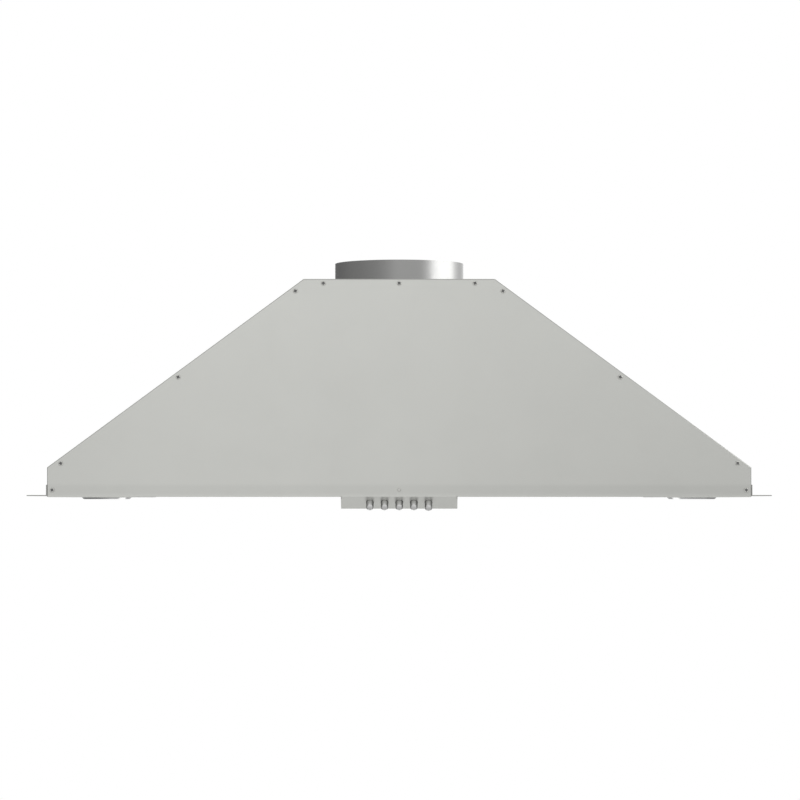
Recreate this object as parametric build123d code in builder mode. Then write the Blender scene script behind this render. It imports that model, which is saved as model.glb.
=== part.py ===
from build123d import *
import math
import os

# A wall mount range hood, in millimetres. X runs to the right, the front faces -Y and Z is up.
# The wall is the plane Y = 0, and Z = 0 is the seating face on top of the side flanges.

# Body
body_width = 1057
top_width = 288
body_height = 327.1
straight_side_height = 44
body_depth = 480
seat_above_rim = 2.5
sheet = 1.2
bend_radius = 2.0
front_reveal = 1.3
fold_width = 16
fold_top_gap = 6

# Side flanges
flange_reach = 30.5
flange_sheet = 1.5
flange_height = 17
flange_end_gap = 2
flange_hole_radius = 2.75
flange_hole_count = 4
flange_hole_pitch = 120

# Screws
screw_radius = 2.0
screw_hole_clearance = 0.15
screw_length = 8
screw_head_radius = 3.75
screw_head_height = 2.2
screw_head_round = 1.1
screw_recess_length = 4.6
screw_recess_width = 1.2
screw_recess_depth = 1.3
screw_edge = 7.5
top_screw_drop = 6.5
top_screw_from_corner = 30
slant_screw_end = 20.4
rim_screw_rise = 10.1
rim_screw_edge = 8
rim_screw_head_radius = 2.6
flange_screw_count = 4
flange_screw_pitch = 140
flange_screw_head_height = 1.6

# Wall holes
wall_hole_radius = 3.25
wall_hole_across = 400
wall_hole_up = 180
wall_hole_low = 70

# Duct collar
collar_overhang = 1
collar_height = 39.4
collar_flange_width = 14
collar_screw_count = 6
collar_screw_head_height = 1.8
flap_seat_width = 8

# Backdraft damper
damper_pin_radius = 2.5
damper_sheet = 1.0
damper_rim_gap = 2.3
damper_knuckle_wall = 1.4
damper_knuckle_length = 28
damper_knuckle_gap = 1
damper_middle_gap = 2
running_clearance = 0.08
seat_clearance = 0.3

# Blower
wheel_radius = 85
wheel_end_gap = 14
wheel_height = 190
blade_depth = 18
blade_sheet = 1.0
blade_count = 36
blade_tilt = 25
wheel_end_ring = 8
wheel_disc_sheet = 2
scroll_width = 200
scroll_cutoff_gap = 15
scroll_step = 17
scroll_lip = 5
scroll_tongue_round = 7
outlet_depth = 120
outlet_flange_width = 15
outlet_flange_sheet = 1.5
inlet_inside_wheel = 14
inlet_throat_depth = 10
inlet_flange_width = 16
hub_radius = 12
hub_length = 22
hub_flange_radius = 20
shaft_radius = 5
shaft_back_gap = 33
motor_radius = 50
motor_band_length = 10.8
motor_cap_radius = 42
motor_cap_length = 6
motor_front_gap = 16
bearing_radius = 11
bearing_length = 8
motor_arm_count = 3
motor_arm_width = 14
motor_arm_sheet = 2
motor_arm_inset = 3
blower_screw_inset = 8

# Electrical pieces on the rear panel
capacitor_radius = 18
capacitor_length = 55
capacitor_across = 210
capacitor_up = 120
wiring_box_width = 100
wiring_box_height = 60
wiring_box_depth = 40
wiring_box_wall = 1.0
wiring_box_across = 230
wiring_box_up = 115
terminal_width = 60
terminal_height = 16
terminal_depth = 14
terminal_count = 5
driver_width = 110
driver_height = 36
driver_depth = 24
driver_from_side = 188.5
driver_up = 70
cable_hole_radius = 11.1
cable_radius = 8
cable_from_corner = 26
cable_from_wall = 48
grommet_lip = 3
grommet_lip_height = 2

# Lamps
lamp_panel_drop = 0.6
lamp_panel_width = 126.5
lamp_wall_height = 40
lamp_from_side = 68.5
lamp_bezel_radius = 39
lamp_proud = 3.6
lamp_bezel_chamfer = 1.1
lamp_hole_radius = 33
lamp_sleeve_height = 9
lamp_sleeve_wall = 1.2
lamp_window_radius = 29
lamp_lip_height = 0.6
lamp_lens_sheet = 2
lamp_body_radius = 31
lamp_core_radius = 14
lamp_fin_count = 5
lamp_fin_sheet = 2
lamp_fin_pitch = 6

# Bottom rails
front_rail_depth = 48
rear_rail_depth = 38.8
ledge_height = 13.5
ledge_overhang = 5

# Baffle filters
filter_count = 3
filter_height = 22
filter_gap = 2
filter_lip = 11
filter_border = 14
filter_sheet = 0.8
baffle_width = 22
baffle_pitch = 32
baffle_side = 11.2
handle_radius = 2.5
handle_drop = 11
handle_bend = 7
handle_end_baffle = 2
handle_from_front = 70
catch_width = 20
catch_height = 26
catch_sheet = 0.5
catch_bump = 0.6
catch_bump_width = 5
catch_bump_slope = 45
catch_across = 80

# Controls
control_width = 175
control_drop = 18
control_flange = 12
control_end_gap = 2
tab_relief_width = 1.2
tab_relief_height = 3
button_radius = 5.6
button_pitch = 22
button_proud = 12.5
light_button_proud = 13.8
button_round = 3.4
button_clearance = 0.4
button_depth = 12
button_travel = 3
button_retainer_radius = 7.2
button_retainer_length = 1
button_stem_radius = 2
button_stem_length = 8
guide_width = 116
guide_height = 20
guide_depth = 9
guide_leg = 5
guide_back_wall = 2.5
switch_depth = 15
switch_height = 14
switch_gap = 1

# Heights and lines that the sizes above settle
rim_z = -seat_above_rim
top_z = rim_z + body_height
kink_z = rim_z + straight_side_height
under_top_z = top_z - sheet
run_per_rise = (body_width - top_width) / 2 / (top_z - kink_z)
slant_stretch = math.hypot(1, run_per_rise)
front_inside_y = sheet - body_depth
collar_y = -body_depth / 2
lamp_panel_under_z = rim_z - lamp_panel_drop
lamp_panel_top_z = lamp_panel_under_z + sheet
opening_half = body_width / 2 - sheet - lamp_panel_width
screw_hole_radius = screw_radius + screw_hole_clearance
top_screw_across = top_width / 2 - top_screw_from_corner
cable_across = top_width / 2 - cable_from_corner
lamp_across = body_width / 2 - lamp_from_side
driver_across = body_width / 2 - driver_from_side
collar_radius = scroll_width / 2 + collar_overhang
duct_hole_radius = collar_radius - flap_seat_width
wheel_width = scroll_width - 2 * wheel_end_gap
scroll_start_radius = wheel_radius + scroll_cutoff_gap
inlet_hole_radius = wheel_radius - inlet_inside_wheel
inlet_flange_radius = inlet_hole_radius + inlet_flange_width

os.makedirs("parts", exist_ok=True)


def write_piece(piece, name):
    """Label a finished piece and write it to its own file."""
    piece.part.label = name
    export_step(piece.part, f"parts/{name}.step")


def plane_behind_front(distance):
    """A plane that faces forward, at a distance behind the body's front face."""
    return Plane.XZ.offset(body_depth - distance)


def half_width_at(height, inset=0.0):
    """Half the body's width at a height, to a line that runs inside the outline by the inset."""
    straight = body_width / 2 - inset
    slanted = top_width / 2 + (top_z - height) * run_per_rise - inset * slant_stretch
    return min(straight, slanted)


def side_line(inset, low, high):
    """The right edge of the front view, inset from the outline, from a low height to a high one."""
    kink = kink_z - inset * (slant_stretch - 1) / run_per_rise
    return [(half_width_at(z, inset), z) for z in (low, kink, high)]


def side_strip(outer_inset, inner_inset, low, high):
    """The corners of a strip along the right edge, between two insets."""
    return side_line(outer_inset, low, high) + side_line(inner_inset, low, high)[::-1]


def body_outline(inset):
    """The corners of the trapezoid front view, with its sides inset and its full height."""
    right = side_line(inset, rim_z, top_z)
    return right + [(-x, z) for x, z in reversed(right)]


def slant_point(from_top, inset):
    """A point along the right slant, measured down from the top corner and in from the edge."""
    along = (run_per_rise / slant_stretch, -1 / slant_stretch)
    inward = (-1 / slant_stretch, -run_per_rise / slant_stretch)
    x = top_width / 2 + from_top * along[0] + inset * inward[0]
    z = top_z + from_top * along[1] + inset * inward[1]
    return (x, z)


def bar(low, high):
    """A closed rectangle in the current sketch, from its low corner to its high corner."""
    with Locations(low):
        Rectangle(high[0] - low[0], high[1] - low[1], align=(Align.MIN, Align.MIN))


def mirrored(piece):
    """The same piece on the other side of the body's middle plane."""
    with BuildPart() as other:
        mirror(piece.part, about=Plane.YZ)
    return other


def pan_screws(face, places, head_radius, head_height, length):
    """Pan-head screws with a cross recess, their heads standing on the face."""
    with BuildPart() as screws:
        with BuildSketch(face):
            with Locations(*places):
                Circle(head_radius)
        extrude(amount=head_height)
        rims = screws.edges().filter_by(GeomType.CIRCLE).group_by(Axis(face.origin, face.z_dir))[-1]
        fillet(rims, head_height * screw_head_round / screw_head_height)
        with BuildSketch(face.offset(head_height)):
            with Locations(*places):
                Rectangle(screw_recess_length * head_radius / screw_head_radius, screw_recess_width)
                Rectangle(screw_recess_width, screw_recess_length * head_radius / screw_head_radius)
        extrude(amount=-screw_recess_depth, mode=Mode.SUBTRACT)
        with BuildSketch(face):
            with Locations(*places):
                Circle(screw_radius)
        extrude(amount=-length)
    return screws


# Places of the front screws, as seen from the front
slant_length = math.hypot((body_width - top_width) / 2, top_z - kink_z)
right_slant_places = [
    slant_point(slant_screw_end, screw_edge),
    slant_point(slant_length / 2, screw_edge),
    slant_point(slant_length - slant_screw_end, screw_edge),
    (body_width / 2 - rim_screw_edge, rim_z + rim_screw_rise),
]
side_screw_places = right_slant_places + [(-x, z) for x, z in right_slant_places]
top_screw_places = [(x, top_z - top_screw_drop) for x in (-top_screw_across, 0, top_screw_across)]
rim_screw_place = (0, rim_z + rim_screw_rise)
front_screw_places = side_screw_places + top_screw_places

# Control tab: it folds back at 45 degrees from the front panel's lower edge
tab_inner_shift = sheet * math.sqrt(2)
tab_outer_low = (-body_depth + control_drop, rim_z - control_drop)
tab_inner_low = (tab_outer_low[0] + tab_inner_shift, tab_outer_low[1])
tab_inner_high = (front_inside_y, rim_z - sheet + tab_inner_shift)
control_face = Plane(
    origin=(0, -body_depth + control_drop / 2, rim_z - control_drop / 2),
    x_dir=(1, 0, 0),
    z_dir=(0, -1, -1),
)
button_names = ["off", "low", "medium", "high", "light"]
button_count = len(button_names)
button_places = [(step - (button_count - 1) / 2) * button_pitch for step in range(button_count)]

# Front panel
with BuildPart() as front_panel:
    with BuildSketch(plane_behind_front(0)):
        with BuildLine():
            Polyline(*body_outline(front_reveal), close=True)
        make_face()
        with Locations(*front_screw_places, rim_screw_place):
            Circle(screw_hole_radius, mode=Mode.SUBTRACT)
    extrude(amount=-sheet)
    with BuildSketch(Plane.YZ.offset(-control_width / 2)):
        with BuildLine():
            Polyline(
                (-body_depth, rim_z),
                tab_outer_low,
                tab_inner_low,
                tab_inner_high,
                (-body_depth, tab_inner_high[1]),
                close=True,
            )
        make_face()
    extrude(amount=control_width)
    with BuildSketch(control_face):
        with Locations(*[(x, 0) for x in button_places]):
            Circle(button_radius + button_clearance)
    extrude(amount=-2 * sheet, mode=Mode.SUBTRACT)
    with BuildSketch(plane_behind_front(0)):
        with Locations((0, rim_z)):
            with GridLocations(control_width - tab_relief_width, 1, 2, 1):
                Rectangle(tab_relief_width, 2 * tab_relief_height)
    extrude(amount=-(tab_relief_height + 2 * sheet), mode=Mode.SUBTRACT)
write_piece(front_panel, "front_panel")

# Rear panel, with the holes for the wall screws
wall_hole_middle = (0, wall_hole_low + wall_hole_up / 2)
with BuildPart() as rear_panel:
    with BuildSketch(Plane.XZ):
        with BuildLine():
            Polyline(*body_outline(0), close=True)
        make_face()
        with Locations(wall_hole_middle):
            with GridLocations(wall_hole_across, wall_hole_up, 2, 2):
                Circle(wall_hole_radius, mode=Mode.SUBTRACT)
    extrude(amount=sheet)
write_piece(rear_panel, "rear_panel")

# Side panels: one bent sheet each, folded inwards behind the front panel and before the rear one
fold_high = under_top_z - fold_top_gap
side_length = body_depth - 2 * sheet
side_flange_places = [
    ((step - (flange_screw_count - 1) / 2) * flange_screw_pitch, flange_height / 2)
    for step in range(flange_screw_count)
]
flange_screw_face = Plane(
    origin=(body_width / 2 + flange_sheet, -body_depth / 2, 0), x_dir=(0, 1, 0), z_dir=(1, 0, 0)
)
with BuildPart() as right_side_panel:
    with BuildSketch(plane_behind_front(sheet)):
        with BuildLine():
            Polyline(*side_strip(0, sheet, rim_z, under_top_z), close=True)
        make_face()
    extrude(amount=-side_length)
    for fold_front in (sheet, body_depth - 2 * sheet):
        with BuildSketch(plane_behind_front(fold_front)):
            with BuildLine():
                Polyline(*side_strip(sheet, fold_width, lamp_panel_top_z, fold_high), close=True)
            make_face()
        extrude(amount=-sheet)
    outer_bends = (
        right_side_panel.edges()
        .filter_by(Plane.XZ)
        .group_by(Axis.Y)[0]
        .filter_by(lambda edge: edge.center().X > half_width_at(edge.center().Z, sheet / 2))
        .filter_by(lambda edge: edge.length > fold_width)
    )
    fillet(outer_bends, bend_radius)
    with BuildSketch(plane_behind_front(sheet)):
        with Locations(*right_slant_places):
            Circle(screw_hole_radius)
    extrude(amount=-sheet, mode=Mode.SUBTRACT)
    with BuildSketch(flange_screw_face):
        with Locations(*side_flange_places):
            Circle(screw_hole_radius)
    extrude(amount=-2 * (flange_sheet + sheet), mode=Mode.SUBTRACT)
write_piece(right_side_panel, "right_side_panel")
left_side_panel = mirrored(right_side_panel)
write_piece(left_side_panel, "left_side_panel")

# Top panel: the duct hole, the cable hole and two folds that hang down at front and rear
top_fold_half = top_screw_across + 2 * screw_head_radius
blower_flange_half_width = scroll_width / 2 + outlet_flange_width
blower_flange_half_depth = outlet_depth / 2 + outlet_flange_width
blower_screw_places = [
    (x, collar_y + y)
    for x in (-blower_flange_half_width + blower_screw_inset, blower_flange_half_width - blower_screw_inset)
    for y in (-blower_flange_half_depth + blower_screw_inset, blower_flange_half_depth - blower_screw_inset)
]
collar_screw_ring = collar_radius + collar_flange_width / 2
collar_screw_angles = [math.radians(360 / collar_screw_count * step) for step in range(collar_screw_count)]
collar_screw_places = [
    (collar_screw_ring * math.cos(angle), collar_y + collar_screw_ring * math.sin(angle))
    for angle in collar_screw_angles
]
with BuildPart() as top_panel:
    with BuildSketch(plane_behind_front(sheet)):
        with BuildLine():
            Polyline(
                (half_width_at(under_top_z), under_top_z),
                (half_width_at(top_z), top_z),
                (-half_width_at(top_z), top_z),
                (-half_width_at(under_top_z), under_top_z),
                close=True,
            )
        make_face()
    extrude(amount=-side_length)
    for fold_front in (sheet, body_depth - 2 * sheet):
        with BuildSketch(plane_behind_front(fold_front)):
            bar((-top_fold_half, under_top_z - fold_width), (top_fold_half, under_top_z))
            with Locations(*top_screw_places):
                Circle(screw_hole_radius, mode=Mode.SUBTRACT)
        extrude(amount=-sheet)
    with BuildSketch(Plane.XY.offset(top_z)):
        with Locations((0, collar_y)):
            Circle(duct_hole_radius)
        with Locations((cable_across, -cable_from_wall)):
            Circle(cable_hole_radius)
        with Locations(*blower_screw_places, *collar_screw_places):
            Circle(screw_hole_radius)
    extrude(amount=-sheet, mode=Mode.SUBTRACT)
write_piece(top_panel, "top_panel")

# Side flanges: an angle outside each side panel, with its leg standing out to carry the hood
flange_length = body_depth - 2 * flange_end_gap
flange_hole_across = body_width / 2 + (flange_sheet + flange_reach) / 2
with BuildPart() as right_flange_angle:
    with BuildSketch(plane_behind_front(flange_end_gap)):
        bar((body_width / 2, -flange_sheet), (body_width / 2 + flange_reach, 0))
        bar((body_width / 2, -flange_sheet), (body_width / 2 + flange_sheet, flange_height - flange_sheet))
    extrude(amount=-flange_length)
    with BuildSketch(Plane.XY):
        with Locations((flange_hole_across, -body_depth / 2)):
            with GridLocations(1, flange_hole_pitch, 1, flange_hole_count):
                Circle(flange_hole_radius)
    extrude(amount=-flange_sheet, mode=Mode.SUBTRACT)
    with BuildSketch(flange_screw_face):
        with Locations(*side_flange_places):
            Circle(screw_hole_radius)
    extrude(amount=-flange_sheet, mode=Mode.SUBTRACT)
write_piece(right_flange_angle, "right_flange_angle")
left_flange_angle = mirrored(right_flange_angle)
write_piece(left_flange_angle, "left_flange_angle")

# Front rail: a fold behind the front panel, a floor and the web that the filters meet
rail_top_z = lamp_panel_top_z + lamp_wall_height
front_web_y = front_inside_y + front_rail_depth
with BuildPart() as front_rail:
    with BuildSketch(Plane.YZ.offset(-opening_half)):
        bar((front_inside_y, rim_z), (front_inside_y + sheet, rim_z + fold_width))
        bar((front_inside_y, rim_z), (front_web_y, rim_z + sheet))
        bar((front_web_y - sheet, rim_z), (front_web_y, rail_top_z))
    extrude(amount=2 * opening_half)
    with BuildSketch(Plane.XY.offset(rim_z)):
        bar((-control_width / 2, front_inside_y), (control_width / 2, front_web_y - sheet))
    extrude(amount=sheet, mode=Mode.SUBTRACT)
    with BuildSketch(plane_behind_front(sheet)):
        with Locations(rim_screw_place):
            Circle(screw_hole_radius)
    extrude(amount=-sheet, mode=Mode.SUBTRACT)
write_piece(front_rail, "front_rail")

# Rear rail: its ledge ends in a rolled nose that the filters hang and turn on
nose_radius = sheet
pivot_y = -sheet - rear_rail_depth - ledge_overhang
pivot_z = rim_z + ledge_height + nose_radius
filter_under_z = pivot_z + nose_radius + seat_clearance
filter_rear_y = pivot_y + filter_lip
rear_web_y = -sheet - rear_rail_depth
with BuildPart() as rear_rail:
    with BuildSketch(Plane.YZ.offset(-opening_half)):
        bar((-2 * sheet, rim_z), (-sheet, rim_z + fold_width))
        bar((rear_web_y, rim_z), (-sheet, rim_z + sheet))
        bar((rear_web_y, rim_z), (rear_web_y + sheet, pivot_z))
        bar((pivot_y, pivot_z - nose_radius), (filter_rear_y + filter_gap, pivot_z + nose_radius))
        with Locations((pivot_y, pivot_z)):
            Circle(nose_radius)
    extrude(amount=2 * opening_half)
write_piece(rear_rail, "rear_rail")

# Lamp panels: the floor of each end, with a wall beside the filters
panel_outer_x = body_width / 2 - sheet
panel_middle_y = -body_depth / 2
with BuildPart() as right_lamp_panel:
    with BuildSketch(plane_behind_front(sheet)):
        bar((opening_half, lamp_panel_under_z), (panel_outer_x, lamp_panel_top_z))
        bar((opening_half, lamp_panel_under_z), (opening_half + sheet, rail_top_z))
    extrude(amount=-side_length)
    with BuildSketch(plane_behind_front(2 * sheet)):
        bar((panel_outer_x - sheet, lamp_panel_top_z), (panel_outer_x, lamp_panel_top_z + fold_width))
    extrude(amount=2 * sheet - side_length)
    with BuildSketch(flange_screw_face):
        with Locations(*side_flange_places):
            Circle(screw_hole_radius)
    extrude(amount=-2 * (flange_sheet + sheet), mode=Mode.SUBTRACT)
    with BuildSketch(Plane.XY.offset(lamp_panel_under_z)):
        with Locations((lamp_across, panel_middle_y)):
            Circle(lamp_hole_radius)
    extrude(amount=sheet, mode=Mode.SUBTRACT)
write_piece(right_lamp_panel, "right_lamp_panel")
left_lamp_panel = mirrored(right_lamp_panel)
write_piece(left_lamp_panel, "left_lamp_panel")

# Lamps: a chamfered bezel with a sleeve up through the panel, a lens on its lip and a finned body
lamp_under_z = rim_z - lamp_proud
lens_under_z = lamp_under_z + lamp_lip_height
lens_top_z = lens_under_z + lamp_lens_sheet
sleeve_top_z = lamp_panel_under_z + lamp_sleeve_height
sleeve_inner_radius = lamp_hole_radius - lamp_sleeve_wall
lamp_plane = Plane(origin=(lamp_across, panel_middle_y, 0), x_dir=(1, 0, 0), z_dir=(0, -1, 0))
lamp_axis = Axis((lamp_across, panel_middle_y, 0), (0, 0, 1))
with BuildPart() as lamp_bezel_right:
    with BuildSketch(lamp_plane):
        with BuildLine():
            Polyline(
                (lamp_window_radius, lamp_under_z),
                (lamp_bezel_radius - lamp_bezel_chamfer, lamp_under_z),
                (lamp_bezel_radius, lamp_under_z + lamp_bezel_chamfer),
                (lamp_bezel_radius, lamp_panel_under_z),
                (lamp_hole_radius, lamp_panel_under_z),
                (lamp_hole_radius, sleeve_top_z),
                (sleeve_inner_radius, sleeve_top_z),
                (sleeve_inner_radius, lens_under_z),
                (lamp_window_radius, lens_under_z),
                close=True,
            )
        make_face()
    revolve(axis=lamp_axis)
write_piece(lamp_bezel_right, "lamp_bezel_right")
lamp_bezel_left = mirrored(lamp_bezel_right)
write_piece(lamp_bezel_left, "lamp_bezel_left")

with BuildPart() as lamp_lens_right:
    with BuildSketch(Plane.XY.offset(lens_under_z)):
        with Locations((lamp_across, panel_middle_y)):
            Circle(sleeve_inner_radius)
    extrude(amount=lamp_lens_sheet)
write_piece(lamp_lens_right, "lamp_lens_right")
lamp_lens_left = mirrored(lamp_lens_right)
write_piece(lamp_lens_left, "lamp_lens_left")

with BuildPart() as lamp_body_right:
    with BuildSketch(Plane.XY.offset(lens_top_z)):
        with Locations((lamp_across, panel_middle_y)):
            Circle(lamp_core_radius)
    extrude(amount=(lamp_fin_count - 1) * lamp_fin_pitch + lamp_fin_sheet)
    for fin in range(lamp_fin_count):
        with BuildSketch(Plane.XY.offset(lens_top_z + fin * lamp_fin_pitch)):
            with Locations((lamp_across, panel_middle_y)):
                Circle(lamp_body_radius)
        extrude(amount=lamp_fin_sheet)
write_piece(lamp_body_right, "lamp_body_right")
lamp_body_left = mirrored(lamp_body_right)
write_piece(lamp_body_left, "lamp_body_left")

# Duct collar: a plain ring on a flange that lies on the top panel
collar_inner_radius = collar_radius - sheet
knuckle_radius = damper_pin_radius + running_clearance + damper_knuckle_wall
flap_under_z = top_z + seat_clearance
damper_z = flap_under_z + damper_sheet + damper_pin_radius + 2 * running_clearance
damper_axis_plane = Plane(origin=(0, collar_y, damper_z), x_dir=(1, 0, 0), z_dir=(0, -1, 0))
with BuildPart() as duct_collar:
    with BuildSketch(Plane.XY.offset(top_z)):
        with Locations((0, collar_y)):
            Circle(collar_radius + collar_flange_width)
            Circle(collar_inner_radius, mode=Mode.SUBTRACT)
        with Locations(*collar_screw_places):
            Circle(screw_hole_radius, mode=Mode.SUBTRACT)
    extrude(amount=sheet)
    with BuildSketch(Plane.XY.offset(top_z)):
        with Locations((0, collar_y)):
            Circle(collar_radius)
            Circle(collar_inner_radius, mode=Mode.SUBTRACT)
    extrude(amount=collar_height)
    with BuildSketch(damper_axis_plane):
        Circle(damper_pin_radius)
    extrude(amount=collar_radius, both=True, mode=Mode.SUBTRACT)
write_piece(duct_collar, "duct_collar")

with BuildPart() as damper_pin:
    with BuildSketch(damper_axis_plane):
        Circle(damper_pin_radius)
    extrude(amount=collar_radius - sheet / 2, both=True)
write_piece(damper_pin, "damper_pin")

# Damper flaps: half discs that hang on the pin by knuckles in turn
flap_radius = collar_inner_radius - damper_rim_gap
knuckle_pitch = damper_knuckle_length + damper_knuckle_gap
knuckle_clear = knuckle_radius + damper_knuckle_gap


def damper_flap(side, own_knuckles, other_knuckles):
    """One half of the damper on the given side of the pin, with knuckles centred along it."""
    flap_plane = Plane(origin=(0, collar_y, flap_under_z))
    with BuildPart() as flap:
        with BuildSketch(flap_plane):
            Circle(flap_radius)
            with Locations((-side * flap_radius, 0)):
                Rectangle(2 * flap_radius + damper_middle_gap, 2 * flap_radius, mode=Mode.SUBTRACT)
            with Locations(*[(0, y) for y in other_knuckles]):
                Rectangle(2 * knuckle_clear, knuckle_pitch + damper_knuckle_gap, mode=Mode.SUBTRACT)
        extrude(amount=damper_sheet)
        for y in own_knuckles:
            with BuildSketch(damper_axis_plane.offset(-y)):
                Circle(knuckle_radius)
            extrude(amount=damper_knuckle_length / 2, both=True)
        with BuildSketch(damper_axis_plane):
            Circle(damper_pin_radius + running_clearance)
        extrude(amount=collar_radius, both=True, mode=Mode.SUBTRACT)
    return flap


outer_knuckles = [-knuckle_pitch, knuckle_pitch]
damper_flap_left = damper_flap(-1, outer_knuckles, [0])
write_piece(damper_flap_left, "damper_flap_left")
damper_flap_right = damper_flap(1, [0], outer_knuckles)
write_piece(damper_flap_right, "damper_flap_right")

# Blower scroll: three arcs that open round the wheel, then a straight outlet up to the top panel
throat_top_z = under_top_z - outlet_flange_sheet
scroll_reach = scroll_start_radius + 2 * scroll_step + scroll_step / 2
wheel_y = collar_y + scroll_reach - outlet_depth / 2
outlet_front_y = wheel_y - scroll_reach
outlet_rear_y = outlet_front_y + outlet_depth
half_step = scroll_step / 2
scroll_inner_half = scroll_width / 2 - sheet
wheel_centre = (wheel_y, wheel_height)
with BuildSketch(Plane.YZ) as scroll_air:
    with BuildLine():
        top_arc = CenterArc(
            (wheel_y + half_step, wheel_height - half_step), scroll_start_radius, 90, -90
        )
        CenterArc(
            (wheel_y - half_step, wheel_height - half_step), scroll_start_radius + scroll_step, 0, -90
        )
        front_arc = CenterArc(
            (wheel_y - half_step, wheel_height + half_step), scroll_start_radius + 2 * scroll_step, -90, -90
        )
        tongue = (outlet_rear_y, (top_arc @ 0).Y)
        Polyline(
            front_arc @ 1,
            (outlet_front_y, throat_top_z),
            (outlet_rear_y, throat_top_z),
            tongue,
            top_arc @ 0,
        )
    make_face()
    tongue_corner = scroll_air.vertices().sort_by_distance((*tongue, 0))[0]
    fillet(tongue_corner, scroll_tongue_round)

with BuildPart() as scroll_band:
    with BuildSketch(Plane.YZ.offset(-scroll_inner_half)):
        add(scroll_air.sketch_local)
        offset(amount=sheet)
        with Locations((collar_y, throat_top_z)):
            Rectangle(2 * outlet_depth, 2 * scroll_step, align=(Align.CENTER, Align.MIN), mode=Mode.SUBTRACT)
        add(scroll_air.sketch_local, mode=Mode.SUBTRACT)
    extrude(amount=2 * scroll_inner_half)
    with BuildSketch(Plane.XY.offset(throat_top_z)):
        with Locations((0, collar_y)):
            Rectangle(2 * blower_flange_half_width, 2 * blower_flange_half_depth)
            Rectangle(2 * scroll_inner_half, outlet_depth, mode=Mode.SUBTRACT)
        with Locations(*blower_screw_places, *collar_screw_places):
            Circle(screw_hole_radius, mode=Mode.SUBTRACT)
    extrude(amount=outlet_flange_sheet)
write_piece(scroll_band, "scroll_band")

with BuildPart() as scroll_side_right:
    with BuildSketch(Plane.YZ.offset(scroll_inner_half)):
        add(scroll_air.sketch_local)
        offset(amount=scroll_lip)
        with Locations((collar_y, throat_top_z)):
            Rectangle(2 * outlet_depth, 2 * scroll_step, align=(Align.CENTER, Align.MIN), mode=Mode.SUBTRACT)
        with Locations(wheel_centre):
            Circle(inlet_hole_radius, mode=Mode.SUBTRACT)
    extrude(amount=sheet)
write_piece(scroll_side_right, "scroll_side_right")
scroll_side_left = mirrored(scroll_side_right)
write_piece(scroll_side_left, "scroll_side_left")

# Inlet rings: a flange outside each side plate and a throat that leads into the wheel
with BuildPart() as inlet_ring_right:
    with BuildSketch(Plane.YZ.offset(scroll_width / 2)):
        with Locations(wheel_centre):
            Circle(inlet_flange_radius)
            Circle(inlet_hole_radius - sheet, mode=Mode.SUBTRACT)
    extrude(amount=sheet)
    with BuildSketch(Plane.YZ.offset(scroll_width / 2)):
        with Locations(wheel_centre):
            Circle(inlet_hole_radius)
            Circle(inlet_hole_radius - sheet, mode=Mode.SUBTRACT)
    extrude(amount=-inlet_throat_depth)
with BuildPart() as inlet_rings:
    add(inlet_ring_right.part)
    mirror(inlet_ring_right.part, about=Plane.YZ)
write_piece(inlet_rings, "inlet_rings")

# Impeller: forward-leaning blades through the slots of a middle disc, with a ring over each end
blade_circle = wheel_radius - blade_depth / 2
blade_half_length = wheel_width / 2 - wheel_disc_sheet
with BuildPart() as impeller:
    with BuildSketch(Plane.YZ.offset(-wheel_disc_sheet / 2)):
        with Locations(wheel_centre):
            Circle(blade_circle)
            Circle(hub_radius, mode=Mode.SUBTRACT)
            with PolarLocations(blade_circle, blade_count):
                Rectangle(blade_depth, blade_sheet, rotation=blade_tilt, mode=Mode.SUBTRACT)
    extrude(amount=wheel_disc_sheet)
    for ring_start in (-wheel_width / 2, blade_half_length):
        with BuildSketch(Plane.YZ.offset(ring_start)):
            with Locations(wheel_centre):
                Circle(wheel_radius)
                Circle(wheel_radius - wheel_end_ring, mode=Mode.SUBTRACT)
        extrude(amount=wheel_disc_sheet)
write_piece(impeller, "impeller")

with BuildPart() as impeller_blades:
    with BuildSketch(Plane.YZ.offset(-blade_half_length)):
        with Locations(wheel_centre):
            with PolarLocations(blade_circle, blade_count):
                Rectangle(blade_depth, blade_sheet, rotation=blade_tilt)
    extrude(amount=2 * blade_half_length)
write_piece(impeller_blades, "impeller_blades")

with BuildPart() as impeller_hub:
    with BuildSketch(Plane.YZ.offset(-hub_length / 2)):
        with Locations(wheel_centre):
            Circle(hub_radius)
    extrude(amount=hub_length)
    with BuildSketch(Plane.YZ.offset(wheel_disc_sheet / 2)):
        with Locations(wheel_centre):
            Circle(hub_flange_radius)
    extrude(amount=wheel_disc_sheet)
    with BuildSketch(Plane.YZ.offset(-hub_length / 2)):
        with Locations(wheel_centre):
            Circle(shaft_radius)
    extrude(amount=hub_length, mode=Mode.SUBTRACT)
write_piece(impeller_hub, "impeller_hub")

# Motor: it hangs in the left inlet, with its shaft in two bearings
arm_face_x = -scroll_width / 2 - sheet
band_back_x = arm_face_x - motor_band_length
motor_front_x = -motor_front_gap
motor_back_x = band_back_x - motor_cap_length
shaft_end_x = hub_length / 2
shaft_back_x = motor_back_x + shaft_back_gap
back_bearing_x = shaft_back_x
front_bearing_x = motor_front_x - bearing_length
with BuildPart() as motor_shaft:
    with BuildSketch(Plane.YZ.offset(shaft_back_x)):
        with Locations(wheel_centre):
            Circle(shaft_radius)
    extrude(amount=shaft_end_x - shaft_back_x)
write_piece(motor_shaft, "motor_shaft")

with BuildPart() as motor_bearings:
    for bearing_x in (back_bearing_x, front_bearing_x):
        with BuildSketch(Plane.YZ.offset(bearing_x)):
            with Locations(wheel_centre):
                Circle(bearing_radius)
                Circle(shaft_radius + running_clearance, mode=Mode.SUBTRACT)
        extrude(amount=bearing_length)
write_piece(motor_bearings, "motor_bearings")

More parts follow.
